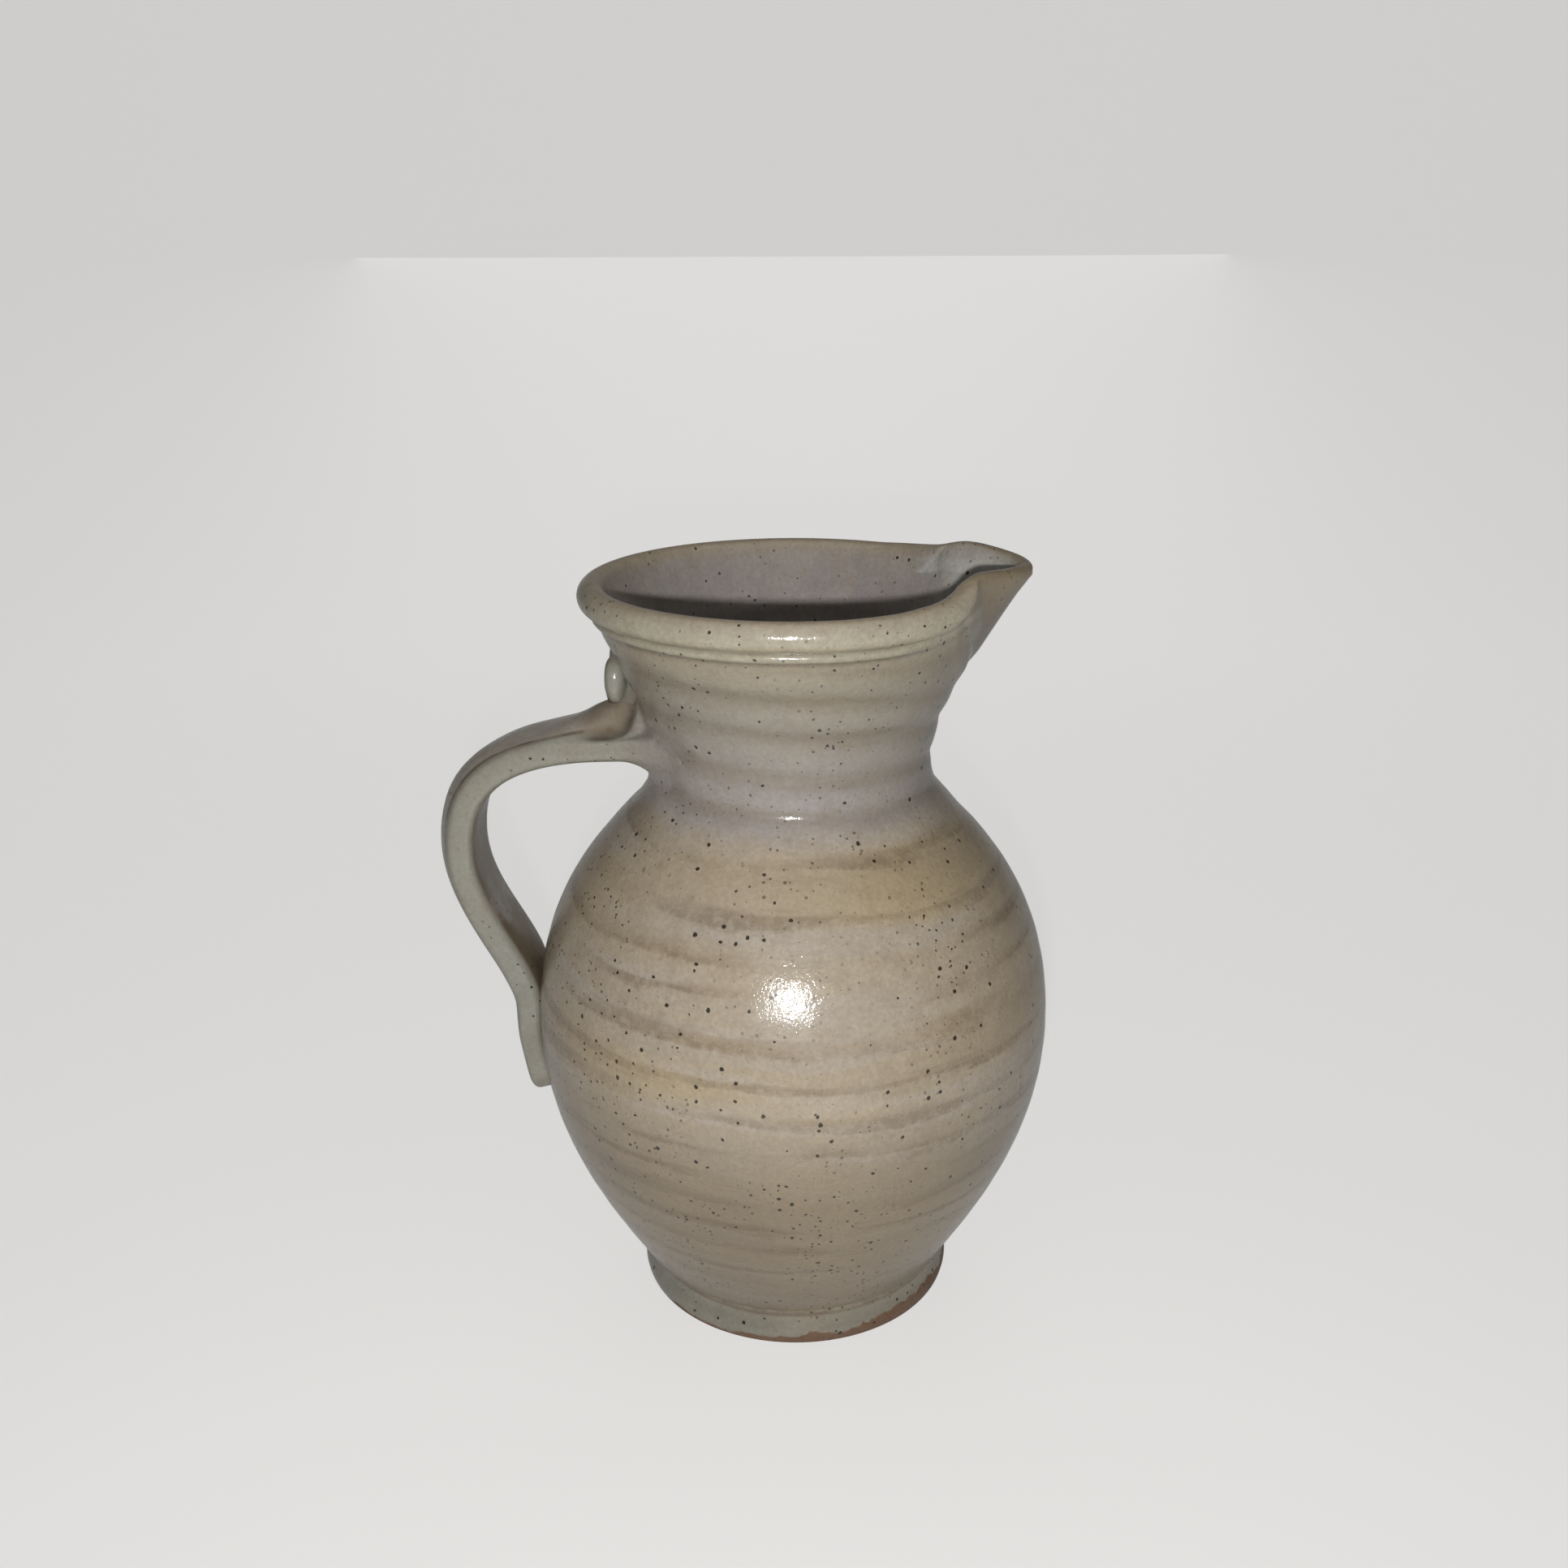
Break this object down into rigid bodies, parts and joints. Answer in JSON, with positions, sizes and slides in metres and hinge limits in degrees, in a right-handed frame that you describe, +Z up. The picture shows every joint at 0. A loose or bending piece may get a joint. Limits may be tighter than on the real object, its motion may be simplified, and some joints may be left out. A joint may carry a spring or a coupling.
{
  "type": "stoneware pitcher",
  "caption": "Hand-thrown stoneware pitcher with a round belly, flared neck, rolled rim, beak spout and strap handle, for pouring water, wine or milk.",
  "frame": {"origin": "centre of the foot's flat underside, on the body's turning axis", "axes": "+Z up along the turning axis, +X towards the beak, -X towards the handle"},
  "size_m": [0.1953, 0.166, 0.2458],
  "materials": {
    "body_glaze": "satin-gloss speckled tan-grey glaze over throwing rings, bare brown clay at the foot's edge",
    "beak_glaze": "satin-gloss tan-brown glaze outside, pale grey-green inside",
    "handle_glaze": "satin-gloss pale grey-green glaze, tan on the strap's outer face and brown along its edges"
  },
  "bodies": {
    "root": {"thrown_body": "body_glaze", "beak_spout": "beak_glaze", "strap_handle": "handle_glaze", "thumb_stop": "handle_glaze"}
  },
  "joints": []
}
